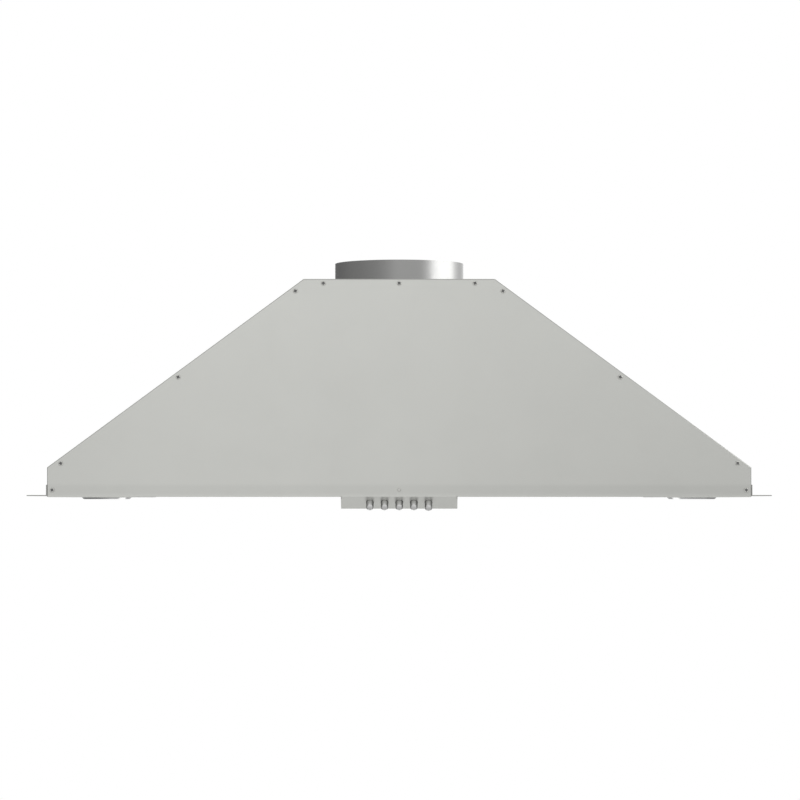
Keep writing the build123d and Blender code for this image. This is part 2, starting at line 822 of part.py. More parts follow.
with BuildPart() as motor_body:
    with BuildSketch(Plane.YZ.offset(motor_back_x)):
        with Locations(wheel_centre):
            Circle(motor_cap_radius)
    extrude(amount=motor_front_x - motor_back_x)
    with BuildSketch(Plane.YZ.offset(band_back_x)):
        with Locations(wheel_centre):
            Circle(motor_radius)
    extrude(amount=motor_front_x - motor_cap_length - band_back_x)
    with BuildSketch(Plane.YZ.offset(back_bearing_x)):
        with Locations(wheel_centre):
            Circle(bearing_radius)
    extrude(amount=motor_front_x - back_bearing_x, mode=Mode.SUBTRACT)
write_piece(motor_body, "motor_body")

# Motor bracket: a band round the motor and arms out to the left inlet ring
with BuildPart() as motor_bracket:
    with BuildSketch(Plane.YZ.offset(band_back_x)):
        with Locations(wheel_centre):
            Circle(motor_radius + motor_arm_sheet)
            Circle(motor_radius, mode=Mode.SUBTRACT)
    extrude(amount=motor_band_length)
    with BuildSketch(Plane.YZ.offset(arm_face_x)):
        with Locations(wheel_centre):
            with PolarLocations(0, motor_arm_count, start_angle=90):
                Rectangle(
                    inlet_flange_radius - motor_arm_inset, motor_arm_width, align=(Align.MIN, Align.CENTER)
                )
            Circle(motor_radius, mode=Mode.SUBTRACT)
    extrude(amount=-motor_arm_sheet)
write_piece(motor_bracket, "motor_bracket")

# Electrical pieces, all fixed to the inner face of the rear panel
inner_wall = Plane.XZ.offset(sheet)
with BuildPart() as run_capacitor:
    with BuildSketch(inner_wall):
        with Locations((-capacitor_across, capacitor_up)):
            Circle(capacitor_radius)
    extrude(amount=capacitor_length)
    fillet(run_capacitor.edges().group_by(Axis.Y)[0], wiring_box_wall)
write_piece(run_capacitor, "run_capacitor")

box_middle = (wiring_box_across, wiring_box_up)
with BuildPart() as wiring_box:
    with BuildSketch(inner_wall):
        with Locations(box_middle):
            Rectangle(wiring_box_width, wiring_box_height)
    extrude(amount=wiring_box_depth)
    with BuildSketch(inner_wall.offset(wiring_box_wall)):
        with Locations(box_middle):
            Rectangle(wiring_box_width - 2 * wiring_box_wall, wiring_box_height - 2 * wiring_box_wall)
    extrude(amount=wiring_box_depth, mode=Mode.SUBTRACT)
write_piece(wiring_box, "wiring_box")

with BuildPart() as wiring_box_cover:
    with BuildSketch(inner_wall.offset(wiring_box_depth)):
        with Locations(box_middle):
            Rectangle(wiring_box_width, wiring_box_height)
    extrude(amount=wiring_box_wall)
    fillet(wiring_box_cover.edges().filter_by(Axis.Y), 2 * wiring_box_wall)
write_piece(wiring_box_cover, "wiring_box_cover")

with BuildPart() as terminal_block:
    with BuildSketch(inner_wall.offset(wiring_box_wall)):
        with Locations(box_middle):
            Rectangle(terminal_width, terminal_height)
    extrude(amount=terminal_depth)
    with BuildSketch(inner_wall.offset(wiring_box_wall + terminal_depth)):
        with Locations(box_middle):
            with GridLocations(terminal_width / terminal_count, 1, terminal_count, 1):
                Circle(screw_radius)
    extrude(amount=-terminal_depth / 2, mode=Mode.SUBTRACT)
write_piece(terminal_block, "terminal_block")

with BuildPart() as lamp_driver:
    with BuildSketch(inner_wall):
        with Locations((-driver_across, driver_up)):
            Rectangle(driver_width, driver_height)
    extrude(amount=driver_depth)
    fillet(lamp_driver.edges().filter_by(Axis.Y), 2 * wiring_box_wall)
write_piece(lamp_driver, "lamp_driver")

# Cable grommet: a ring snapped into the top panel, with a lip on either face
cable_middle = (cable_across, -cable_from_wall)
with BuildPart() as cable_grommet:
    with BuildSketch(Plane.XY.offset(under_top_z)):
        with Locations(cable_middle):
            Circle(cable_hole_radius)
    extrude(amount=sheet)
    for lip_z in (top_z, under_top_z - grommet_lip_height):
        with BuildSketch(Plane.XY.offset(lip_z)):
            with Locations(cable_middle):
                Circle(cable_hole_radius + grommet_lip)
        extrude(amount=grommet_lip_height)
    with BuildSketch(Plane.XY.offset(under_top_z - grommet_lip_height)):
        with Locations(cable_middle):
            Circle(cable_radius)
    extrude(amount=sheet + 2 * grommet_lip_height, mode=Mode.SUBTRACT)
write_piece(cable_grommet, "cable_grommet")

# Control housing: cheeks, floor and back behind the tab, hung by flanges on the rail's floor
housing_rear_y = front_web_y
housing_half = control_width / 2
neck_front_y = tab_inner_high[0] + sheet + control_end_gap
neck_rear_y = front_web_y - sheet - control_end_gap
neck_top_z = rim_z + 2 * sheet
with BuildPart() as control_housing:
    with BuildSketch(Plane.YZ.offset(-housing_half)):
        with BuildLine():
            Polyline(
                (tab_inner_low[0] - control_drop, rim_z),
                tab_inner_low,
                (housing_rear_y, tab_inner_low[1]),
                (housing_rear_y, rim_z),
                close=True,
            )
        make_face()
        bar((neck_front_y, rim_z), (neck_rear_y, neck_top_z))
    extrude(amount=control_width)
    with BuildSketch(Plane.YZ.offset(-housing_half + sheet)):
        bar((-body_depth, tab_inner_low[1] + sheet), (housing_rear_y - sheet, neck_top_z + sheet))
    extrude(amount=control_width - 2 * sheet, mode=Mode.SUBTRACT)
    with BuildSketch(Plane.XY.offset(rim_z + sheet)):
        bar((-housing_half - control_flange, neck_front_y), (-housing_half, neck_rear_y))
        bar((housing_half, neck_front_y), (housing_half + control_flange, neck_rear_y))
    extrude(amount=sheet)
write_piece(control_housing, "control_housing")

# Button guide: a bored strip on the back of the tab, with a leg at each end for the switches
guide_back = sheet + guide_depth
switch_front = button_depth + button_travel + switch_gap
button_bore_radius = button_radius + button_clearance
bore_places = [(x, 0) for x in button_places]
with BuildPart() as button_guide:
    with BuildSketch(control_face.offset(-sheet)):
        Rectangle(guide_width, guide_height)
        with Locations(*bore_places):
            Circle(button_retainer_radius + button_clearance, mode=Mode.SUBTRACT)
    extrude(amount=-(guide_depth - guide_back_wall))
    with BuildSketch(control_face.offset(-(guide_back - guide_back_wall))):
        Rectangle(guide_width, guide_height)
        with Locations(*bore_places):
            Circle(button_bore_radius, mode=Mode.SUBTRACT)
    extrude(amount=-guide_back_wall)
    with BuildSketch(control_face.offset(-guide_back)):
        with GridLocations(guide_width - guide_leg, 1, 2, 1):
            Rectangle(guide_leg, switch_height)
    extrude(amount=-(switch_front - guide_back))
write_piece(button_guide, "button_guide")

with BuildPart() as switch_bank:
    with BuildSketch(control_face.offset(-switch_front)):
        Rectangle(guide_width, switch_height)
    extrude(amount=-switch_depth)
    with BuildSketch(control_face.offset(-switch_front)):
        with Locations(*bore_places):
            Circle(button_stem_radius + button_clearance)
    extrude(amount=-(button_stem_length + button_clearance), mode=Mode.SUBTRACT)
write_piece(switch_bank, "switch_bank")


# Push buttons
def push_button(across, proud):
    """A round cap with a retaining collar behind the tab and a stem into its switch."""
    with BuildPart() as button:
        with BuildSketch(control_face.offset(proud)):
            with Locations((across, 0)):
                Circle(button_radius)
        extrude(amount=-(proud + button_depth))
        fillet(button.faces().sort_by(Axis((0, 0, 0), (0, -1, -1)))[-1].edges(), button_round)
        with BuildSketch(control_face.offset(-sheet - seat_clearance)):
            with Locations((across, 0)):
                Circle(button_retainer_radius)
        extrude(amount=-button_retainer_length)
        with BuildSketch(control_face.offset(-button_depth)):
            with Locations((across, 0)):
                Circle(button_stem_radius)
        extrude(amount=-button_stem_length)
    return button


for button_name, across in zip(button_names, button_places):
    proud = light_button_proud if button_name == "light" else button_proud
    button = push_button(across, proud)
    write_piece(button, f"button_{button_name}")

# Baffle filters
filter_front_y = front_web_y + filter_gap
filter_length = filter_rear_y - filter_front_y
filter_width = (2 * opening_half - (filter_count + 1) * filter_gap) / filter_count
filter_middle_y = (filter_front_y + filter_rear_y) / 2
filter_names = ["left", "middle", "right"]
filter_pitch = filter_width + filter_gap
filter_places = [(step - (filter_count - 1) / 2) * filter_pitch for step in range(filter_count)]
baffle_base_z = filter_under_z + filter_sheet
baffle_top_z = filter_under_z + filter_height - filter_sheet
baffle_count = int((filter_width - 2 * filter_border) / baffle_pitch) + 1


def filter_frame(across):
    """A channel frame, open to the inside, that holds the baffles' ends."""
    with BuildPart() as frame:
        with BuildSketch(Plane.XY.offset(filter_under_z)):
            with Locations((across, filter_middle_y)):
                Rectangle(filter_width, filter_length)
                Rectangle(
                    filter_width - 2 * filter_border, filter_length - 2 * filter_border, mode=Mode.SUBTRACT
                )
        extrude(amount=filter_height)
        with BuildSketch(Plane.XY.offset(baffle_base_z)):
            with Locations((across, filter_middle_y)):
                Rectangle(filter_width - 2 * filter_sheet, filter_length - 2 * filter_sheet)
        extrude(amount=filter_height - 2 * filter_sheet, mode=Mode.SUBTRACT)
    return frame


def baffle_row(middle_x, count, base_z, upward):
    """Channels side by side across the current sketch, with their walls up or down."""
    wall_low = base_z if upward else base_z - baffle_side
    floor_low = base_z if upward else base_z - filter_sheet
    for step in range(count):
        x = middle_x + (step - (count - 1) / 2) * baffle_pitch
        bar((x - baffle_width / 2, floor_low), (x + baffle_width / 2, floor_low + filter_sheet))
        for wall_x in (x - baffle_width / 2, x + baffle_width / 2 - filter_sheet):
            bar((wall_x, wall_low), (wall_x + filter_sheet, wall_low + baffle_side))


def filter_baffles(across):
    """Two rows of channels that interlock, the upper row over the gaps of the lower one."""
    with BuildPart() as baffles:
        with BuildSketch(Plane.XZ.offset(-filter_rear_y + filter_sheet)):
            baffle_row(across, baffle_count, baffle_base_z, True)
            baffle_row(across, baffle_count - 1, baffle_top_z, False)
        extrude(amount=filter_length - 2 * filter_sheet)
    return baffles


def filter_handle(across):
    """A round wire pull between two of the lower baffles."""
    half_span = ((baffle_count - 1) / 2 - handle_end_baffle) * baffle_pitch
    bar_z = baffle_base_z - handle_drop
    with BuildPart() as handle:
        with BuildLine(Plane.XZ.offset(-filter_front_y - handle_from_front)) as wire:
            FilletPolyline(
                (across - half_span, baffle_base_z),
                (across - half_span, bar_z),
                (across + half_span, bar_z),
                (across + half_span, baffle_base_z),
                radius=handle_bend,
            )
        with BuildSketch(Plane(origin=wire.line @ 0, z_dir=wire.line % 0)):
            Circle(handle_radius)
        sweep()
    return handle


for filter_name, across in zip(filter_names, filter_places):
    write_piece(filter_frame(across), f"filter_{filter_name}_frame")
    write_piece(filter_baffles(across), f"filter_{filter_name}_baffles")
    write_piece(filter_handle(across), f"filter_{filter_name}_handle")

# Filter catches: two spring leaves on the front rail before each filter
catch_places = [x + side * catch_across for x in filter_places for side in (-1, 1)]
catch_low_z = filter_under_z - filter_gap
with BuildPart() as filter_catches:
    with BuildSketch(Plane.XZ.offset(-front_web_y)):
        with Locations(*[(x, catch_low_z + catch_height / 2) for x in catch_places]):
            Rectangle(catch_width, catch_height)
    extrude(amount=-catch_sheet)
    with BuildSketch(Plane.XZ.offset(-front_web_y - catch_sheet)):
        with Locations(*[(x, filter_under_z + catch_bump_width / 2) for x in catch_places]):
            Rectangle(catch_width, catch_bump_width)
    extrude(amount=-catch_bump, taper=catch_bump_slope)
write_piece(filter_catches, "filter_catches")

# Screws
with BuildPart() as front_screws:
    add(pan_screws(
        plane_behind_front(0), front_screw_places, screw_head_radius, screw_head_height, screw_length
    ).part)
    add(pan_screws(
        plane_behind_front(0), [rim_screw_place], rim_screw_head_radius, screw_head_height, screw_length
    ).part)
write_piece(front_screws, "front_screws")

right_flange_screws = pan_screws(
    flange_screw_face, side_flange_places, screw_head_radius, flange_screw_head_height, screw_length
)
with BuildPart() as flange_screws:
    add(right_flange_screws.part)
    mirror(right_flange_screws.part, about=Plane.YZ)
write_piece(flange_screws, "flange_screws")

collar_flange_face = Plane.XY.offset(top_z + sheet)
collar_screws = pan_screws(
    collar_flange_face, collar_screw_places, screw_head_radius, collar_screw_head_height, screw_length
)
write_piece(collar_screws, "collar_screws")

blower_screws = pan_screws(
    Plane.XY.offset(top_z), blower_screw_places, screw_head_radius, screw_head_height, screw_length
)
write_piece(blower_screws, "blower_screws")
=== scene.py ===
import math

import bmesh
import bpy
from mathutils import Matrix, Vector


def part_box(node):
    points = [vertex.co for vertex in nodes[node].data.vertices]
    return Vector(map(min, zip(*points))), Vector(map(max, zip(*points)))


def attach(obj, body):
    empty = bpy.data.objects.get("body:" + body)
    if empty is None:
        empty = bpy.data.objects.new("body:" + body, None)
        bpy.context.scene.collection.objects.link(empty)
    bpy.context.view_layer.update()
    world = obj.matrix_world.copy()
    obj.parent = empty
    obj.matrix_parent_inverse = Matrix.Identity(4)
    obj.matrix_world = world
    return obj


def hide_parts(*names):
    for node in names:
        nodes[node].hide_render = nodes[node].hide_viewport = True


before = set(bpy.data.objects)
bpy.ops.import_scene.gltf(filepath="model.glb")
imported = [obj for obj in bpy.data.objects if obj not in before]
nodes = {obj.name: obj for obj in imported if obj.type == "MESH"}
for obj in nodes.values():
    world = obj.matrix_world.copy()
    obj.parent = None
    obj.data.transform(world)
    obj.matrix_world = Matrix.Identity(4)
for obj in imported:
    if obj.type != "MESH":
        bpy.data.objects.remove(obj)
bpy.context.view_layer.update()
scene = bpy.context.scene
scene.view_settings.view_transform = "Standard"

# Camera: a long lens in front of the hood, level with its lower edge and tilted up
eye = Vector((0.0012, -5.381, -0.006))
aim = Vector((0.0012, -0.480, 0.1426))
camera_data = bpy.data.cameras.new("camera")
camera_data.lens = 147.0
camera_data.clip_end = 200
camera = bpy.data.objects.new("camera", camera_data)
camera.location = eye
camera.rotation_mode = "QUATERNION"
camera.rotation_quaternion = (aim - eye).to_track_quat("-Z", "Y")
scene.collection.objects.link(camera)
scene.camera = camera


# Shader helpers
def new_finish(name):
    """A material with its node tree and its shader."""
    material = bpy.data.materials.new(name)
    material.use_nodes = True
    tree = material.node_tree
    return material, tree, tree.nodes["Principled BSDF"]


def put(tree, kind, inputs=None, **settings):
    """Adds a shader node, sets its fields, and fills or links its inputs."""
    added = tree.nodes.new(kind)
    for field, value in settings.items():
        setattr(added, field, value)
    for socket, value in (inputs or {}).items():
        if isinstance(value, bpy.types.NodeSocket):
            tree.links.new(value, added.inputs[socket])
        else:
            added.inputs[socket].default_value = value
    return added


def feed(tree, shader, **inputs):
    """Links or sets the shader's own inputs; an underscore stands for a space."""
    for socket, value in inputs.items():
        socket = shader.inputs[socket.replace("_", " ")]
        if isinstance(value, bpy.types.NodeSocket):
            tree.links.new(value, socket)
        else:
            socket.default_value = value


def piece_space(tree, stretch=(1, 1, 1), shift=(0, 0, 0)):
    """The piece's own coordinates in metres, stretched along each axis and then shifted."""
    coordinates = put(tree, "ShaderNodeTexCoord")
    mapping = put(tree, "ShaderNodeMapping", {
        "Vector": coordinates.outputs["Object"], "Scale": stretch, "Location": shift,
    })
    return mapping.outputs["Vector"]


def noise(tree, space, scale, detail=2.0, roughness=0.5):
    """Soft random clouds between 0 and 1."""
    made = put(tree, "ShaderNodeTexNoise", {
        "Vector": space, "Scale": scale, "Detail": detail, "Roughness": roughness,
    })
    return made.outputs["Fac"]


def spread(tree, value, low, high, over=(0.0, 1.0)):
    """Goes from low to high while the value goes over its range, and is held at both ends."""
    made = put(tree, "ShaderNodeMapRange", {
        "Value": value, "From Min": over[0], "From Max": over[1], "To Min": low, "To Max": high,
    })
    return made.outputs["Result"]


def maths(tree, kind, first, second=0.0):
    """One step of arithmetic on one value or two."""
    return put(tree, "ShaderNodeMath", {0: first, 1: second}, operation=kind).outputs[0]


def between(tree, factor, first, second):
    """A colour between two others."""
    made = put(tree, "ShaderNodeMix", {0: factor, 6: first, 7: second}, data_type="RGBA")
    return made.outputs[2]


def shade(colour, factor):
    """The colour made brighter or darker, with its alpha."""
    return [min(1.0, part * factor) for part in colour] + [1.0]


def raised(tree, height, distance):
    """A bump that stands that many metres high where the pattern is 1."""
    return put(tree, "ShaderNodeBump", {"Height": height, "Distance": distance}).outputs["Normal"]


def axis_of(tree, vector, axis):
    """The part of a vector along one axis."""
    return put(tree, "ShaderNodeSeparateXYZ", {0: vector}).outputs[axis]


# Finishes
def sheet_finish(name, colour, grain, roughness=0.36, uneven=0.05, mottling=0.03, rim=0.72,
                 toned=None):
    """Satin sheet metal: a fine rolled grain, faint clouds and a few soft smudges.

    The rim is how bright the metal stays at a glancing angle, and toned changes its colour by place, which
    on the front, the bends and the buttons is painted shade and painted highlight.
    """
    material, tree, shader = new_finish(name)
    fine = noise(tree, piece_space(tree, grain), 1.0, 3.0, 0.6)
    clouds = noise(tree, piece_space(tree), 7.0, 3.0, 0.55)
    smudges = noise(tree, piece_space(tree, shift=(3.1, 1.7, 0.4)), 17.0, 4.0, 0.6)
    tone = maths(tree, "ADD", spread(tree, fine, -0.25, 0.25), clouds)
    tint = between(tree, tone, shade(colour, 1 - mottling), shade(colour, 1 + mottling))
    if toned:
        tint = toned(tree, tint, colour)
    grained = spread(tree, fine, roughness - uneven, roughness + uneven)
    rough = maths(tree, "ADD", grained, spread(tree, smudges, 0.0, 0.05, over=(0.52, 0.72)))
    feed(tree, shader, Metallic=1.0, Base_Color=tint, Roughness=rough, Normal=raised(tree, fine, 0.00002),
         Specular_Tint=(rim, rim, rim, 1))
    return material


def dress(material, *names):
    """Gives CAD nodes this finish."""
    for name in names:
        nodes[name].data.materials.clear()
        nodes[name].data.materials.append(material)


FRONT_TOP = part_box("front_panel")[1][2]
BLACK = (0, 0, 0, 1)


def front_painted_shade(tree, tint, colour):
    """Painted shade: the front darkens slowly to the right and downward, on a band near its lower edge and
    along its top edge.

    Each share of painted shade is a share of black, over a range of places in metres.
    """
    height = axis_of(tree, piece_space(tree), "Z")
    across = axis_of(tree, piece_space(tree), "X")
    rightward = spread(tree, across, 0.0, 0.14, over=(-0.2, 0.5))
    downward = maths(tree, "MINIMUM", spread(tree, height, 0.084, 0.0, over=(0.0, 0.32)),
                     spread(tree, height, 0.024, 0.084, over=(-0.004, 0.0)))
    lower_band_shade = maths(tree, "MINIMUM", spread(tree, height, 0.05, 0.0, over=(0.0125, 0.0175)),
                    spread(tree, height, 0.01, 0.05, over=(-0.0005, 0.0035)))
    top_edge = spread(tree, height, 0.0, 0.28, over=(FRONT_TOP - 0.0018, FRONT_TOP - 0.0012))
    painted_shade_share = rightward
    for more in (downward, lower_band_shade, top_edge):
        painted_shade_share = maths(tree, "ADD", painted_shade_share, more)
    return between(tree, painted_shade_share, tint, BLACK)


def painted_bend_shade(tree, tint, colour):
    """Painted shade: the faces along a bend are a little darker than the flat sheet."""
    facing = axis_of(tree, put(tree, "ShaderNodeNewGeometry").outputs["Normal"], "Y")
    slope = maths(tree, "ABSOLUTE", facing)
    bend = maths(tree, "MINIMUM", spread(tree, slope, 0.0, 1.0, over=(0.05, 0.2)),
                 spread(tree, slope, 1.0, 0.0, over=(0.97, 0.995)))
    return between(tree, bend, tint, shade(colour, 0.62))


def button_painted_light(tree, tint, colour):
    """A push button gets a painted highlight on its upper side and painted shade along its sides; its face
    keeps the plain colour.
    """
    normal = put(tree, "ShaderNodeNewGeometry").outputs["Normal"]
    sideways = maths(tree, "ABSOLUTE", axis_of(tree, normal, "X"))
    sides = spread(tree, sideways, 0.0, 1.0, over=(0.35, 0.75))
    upper = spread(tree, axis_of(tree, normal, "Z"), 0.0, 1.0, over=(-0.5, 0.3))
    tint = between(tree, upper, tint, shade(colour, 1.18))
    return between(tree, sides, tint, shade(colour, 0.58))


def darker_end_faces(tree, tint, colour):
    """The ends that face front and back, on a piece that runs from front to back, are darker."""
    facing = axis_of(tree, put(tree, "ShaderNodeNewGeometry").outputs["True Normal"], "Y")
    end_facing = spread(tree, maths(tree, "ABSOLUTE", facing), 0.0, 1.0, over=(0.85, 0.95))
    return between(tree, end_facing, tint, shade(colour, 0.6))


# The shell's steel and the front's, and how the grain stretches along each axis
SHELL = (0.575, 0.580, 0.553)
FRONT = (0.616, 0.621, 0.593)
along_x = (6, 2400, 2400)
along_y = (2400, 6, 2400)
along_z = (2400, 2400, 10)
even = (900, 900, 900)
# The front's steel carries painted shade towards the right, towards the bottom, on a low band and along its
# top edge.
dress(sheet_finish("sheet_steel_front", FRONT, along_x, toned=front_painted_shade), "front_panel")
dress(sheet_finish("sheet_steel_across", SHELL, along_x), "rear_panel", "top_panel", "front_rail",
      "rear_rail", "control_housing")
dress(sheet_finish("sheet_steel_bent", SHELL, along_y, toned=painted_bend_shade), "left_side_panel",
      "right_side_panel")
dress(sheet_finish("sheet_steel_deep", SHELL, along_y), "left_lamp_panel", "right_lamp_panel")
dress(sheet_finish("flange_steel", SHELL, along_y, toned=darker_end_faces), "left_flange_angle",
      "right_flange_angle")
dress(sheet_finish("collar_steel", (0.30, 0.30, 0.295), along_z, roughness=0.17, uneven=0.03, rim=1.0),
      "duct_collar")
bezel_steel = sheet_finish("bezel_steel", (0.48, 0.48, 0.475), even, roughness=0.16, uneven=0.03, rim=1.0)
screw_steel = sheet_finish("screw_steel", (0.57, 0.57, 0.545), even, roughness=0.38)
dress(screw_steel, "front_screws", "flange_screws", "collar_screws", "blower_screws")
dress(sheet_finish("ground_steel", (0.5, 0.5, 0.5), even, roughness=0.22), "damper_pin", "motor_shaft",
      "motor_bearings", "filter_catches")
dress(sheet_finish("mill_aluminium", (0.62, 0.62, 0.62), along_y, roughness=0.33), "damper_flap_left",
      "damper_flap_right", "impeller", "impeller_blades", "impeller_hub")
dress(sheet_finish("filter_steel", (0.52, 0.52, 0.50), along_y, roughness=0.3), *[
    f"filter_{side}_{part}" for side in ("left", "middle", "right") for part in ("frame", "baffles")])
dress(sheet_finish("handle_wire", (0.6, 0.6, 0.59), even, roughness=0.16), *[
    f"filter_{side}_handle" for side in ("left", "middle", "right")])
button_metal = sheet_finish("button_metal", (0.50, 0.50, 0.495), even, roughness=0.29, uneven=0.03,
                            toned=button_painted_light)
dress(button_metal, *[f"button_{name}" for name in ("off", "low", "medium", "high", "light")])


def galvanised():
    """Zinc-coated sheet: flat crystals of different brightness."""
    material, tree, shader = new_finish("galvanised_steel")
    crystals = put(tree, "ShaderNodeTexVoronoi", {
        "Vector": piece_space(tree), "Scale": 110.0, "Randomness": 1.0,
    })
    spangle = axis_of(tree, crystals.outputs["Color"], "X")
    clouds = noise(tree, piece_space(tree), 9.0, 3.0)
    tone = maths(tree, "ADD", spread(tree, spangle, 0.0, 0.7), spread(tree, clouds, 0.0, 0.3))
    tint = between(tree, tone, (0.40, 0.41, 0.42, 1), (0.56, 0.57, 0.58, 1))
    feed(tree, shader, Metallic=1.0, Base_Color=tint, Roughness=spread(tree, spangle, 0.26, 0.42),
         Normal=raised(tree, spangle, 0.00001))
    return material


def paint(name, colour, roughness, grain_scale, grain_height, wear=0.25):
    """Sprayed or moulded coat with a fine orange-peel grain and a slightly worn sheen.

    Wear is how much brighter the dusty or rubbed places are.
    """
    material, tree, shader = new_finish(name)
    peel = noise(tree, piece_space(tree), grain_scale, 3.0, 0.6)
    dust = noise(tree, piece_space(tree, shift=(1.3, 0.2, 2.9)), 40.0, 4.0, 0.65)
    worn = spread(tree, dust, 0.0, 1.0, over=(0.4, 0.75))
    tint = between(tree, worn, shade(colour, 0.9), shade(colour, 1 + wear))
    feed(tree, shader, Base_Color=tint, Roughness=spread(tree, dust, roughness - 0.06, roughness + 0.08),
         Normal=raised(tree, peel, grain_height))
    return material


dress(galvanised(), "scroll_side_left", "scroll_side_right", "scroll_band", "inlet_rings",
      "motor_bracket", "wiring_box", "wiring_box_cover")
dress(paint("motor_paint", (0.028, 0.029, 0.031), roughness=0.36, grain_scale=900, grain_height=0.00006),
      "motor_body")
dress(paint("black_plastic", (0.020, 0.020, 0.021), roughness=0.42, grain_scale=1500, grain_height=0.00003),
      "button_guide", "switch_bank", "cable_grommet", "lamp_driver")
dress(paint("white_plastic", (0.72, 0.71, 0.66), roughness=0.45, grain_scale=1500, grain_height=0.00002,
            wear=0.05), "terminal_block")
dress(sheet_finish("capacitor_can", (0.60, 0.60, 0.61), along_x, roughness=0.26), "run_capacitor")
dress(sheet_finish("cast_aluminium", (0.44, 0.44, 0.44), even, roughness=0.45), "lamp_body_left",
      "lamp_body_right")


def frosted_lens():
    """Opal lamp lens with a faint stippled face."""
    material, tree, shader = new_finish("frosted_lens")
    stipple = noise(tree, piece_space(tree), 1400.0, 2.0)
    haze = noise(tree, piece_space(tree), 60.0, 3.0)
    feed(tree, shader, Base_Color=between(tree, haze, (0.80, 0.82, 0.81, 1), (0.90, 0.91, 0.90, 1)),
         Roughness=spread(tree, haze, 0.34, 0.46), Normal=raised(tree, stipple, 0.00004),
         Transmission_Weight=0.25, IOR=1.49)
    return material


def painted_recess_shade():
    """The driver recess of a screw, its colour darkened as painted shade in the hollow, with faint blotches.
    """
    material, tree, shader = new_finish("screw_recess_shade")
    recess_blotches = noise(tree, piece_space(tree), 900.0, 3.0)
    feed(tree, shader, Metallic=1.0, Roughness=spread(tree, recess_blotches, 0.5, 0.8),
         Base_Color=between(tree, recess_blotches, (0.17, 0.17, 0.17, 1), (0.27, 0.27, 0.265, 1)))
    return material


lens_glass = frosted_lens()
screw_recess_shade = painted_recess_shade()


# Modelling helpers
def add(primitive, **settings):
    """Adds a primitive at its size and place, ready to be shaped."""
    bpy.ops.object.select_all(action="DESELECT")
    primitive(**settings)
    bpy.ops.object.mode_set(mode="EDIT")
    bpy.ops.mesh.select_all(action="DESELECT")
    return bpy.context.object


def pick(piece, kind, test):
    """Selects the faces or edges of the piece in edit mode that pass the test."""
    bpy.ops.mesh.select_mode(type="FACE" if kind == "faces" else "EDGE")
    bpy.ops.mesh.select_all(action="DESELECT")
    mesh = bmesh.from_edit_mesh(piece.data)
    mesh.normal_update()
    for item in getattr(mesh, kind):
        item.select_set(bool(test(item)))
    mesh.select_flush_mode()
    bmesh.update_edit_mesh(piece.data)


def height_of(edge):
    """The height of an edge's middle."""
    return sum(vert.co.z for vert in edge.verts) / 2


def end_shaping(piece, smooth=35):
    """Clean doubles, outward normals, place in the mesh and smooth shading up to that angle in degrees."""
    if piece.mode == "EDIT":
        bpy.ops.mesh.select_all(action="SELECT")
        bpy.ops.mesh.remove_doubles(threshold=0.000005)
        bpy.ops.mesh.normals_make_consistent(inside=False)
        bpy.ops.object.mode_set(mode="OBJECT")
    bpy.ops.object.select_all(action="DESELECT")
    piece.select_set(True)
    bpy.context.view_layer.objects.active = piece
    bpy.ops.object.transform_apply(location=True, rotation=True, scale=True)
    bpy.ops.object.shade_smooth_by_angle(angle=math.radians(smooth))


def cut_with(piece, cutter):
    """Cuts one shape out of another and throws the cutter away."""
    cut = piece.modifiers.new("cut", "BOOLEAN")
    cut.object = cutter
    cut.operation = "DIFFERENCE"
    cut.solver = "EXACT"
    bpy.context.view_layer.objects.active = piece
    bpy.ops.object.modifier_apply(modifier=cut.name)
    bpy.data.objects.remove(cutter, do_unlink=True)


def copied(model, name, matrix, body, stands_for):
    """A copy with its own mesh at a place, riding on a body, in the place of a CAD node."""
    mesh = model.data.copy()
    mesh.name = name
    mesh.transform(matrix)
    piece = bpy.data.objects.new(name, mesh)
    scene.collection.objects.link(piece)
    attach(piece, body)
    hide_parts(stands_for)


def separate_boxes(name):
    """The lowest and highest corner of each separate solid in a CAD node, in order of place."""
    copy = bmesh.new()
    copy.from_mesh(nodes[name].data)
    bmesh.ops.remove_doubles(copy, verts=copy.verts, dist=0.000001)
    left = set(copy.verts)
    boxes = []
    while left:
        found = [left.pop()]
        for vert in found:
            for edge in vert.link_edges:
                other = edge.other_vert(vert)
                if other in left:
                    left.remove(other)
                    found.append(other)
        places = [vert.co for vert in found]
        boxes.append(tuple(
            tuple(round(pick_end(place[axis] for place in places), 6) for axis in range(3))
            for pick_end in (min, max)))
    copy.free()
    return sorted(boxes)


# Screws: a low pan head with a cross recess, modelled once for each size and copied. A head up to the small
# radius gets no painted shade in its recess, a shank is a share of its head's radius, and each screw is
# turned by a step in degrees from the one before.
SMALL_HEAD = 0.003
SHANK_SHARE = 0.53
TURN_STEP = 53


def cross_cutter(length, width, depth, top):
    """The plus-shaped cutter of a driver recess."""
    cutter = add(bpy.ops.mesh.primitive_cube_add, size=width, location=(0, 0, top))
    for way in (Vector((1, 0, 0)), Vector((-1, 0, 0)), Vector((0, 1, 0)), Vector((0, -1, 0))):
        pick(cutter, "faces", lambda face: face.normal.dot(way) > 0.9
             and abs(face.calc_center_median().dot(way) - width / 2) < width / 10)
        bpy.ops.mesh.extrude_region_move(TRANSFORM_OT_translate={"value": way * (length - width) / 2})
    bpy.ops.mesh.select_all(action="SELECT")
    bpy.ops.transform.resize(value=(1, 1, 2 * depth / width), center_override=(0, 0, top))
    end_shaping(cutter)
    return cutter


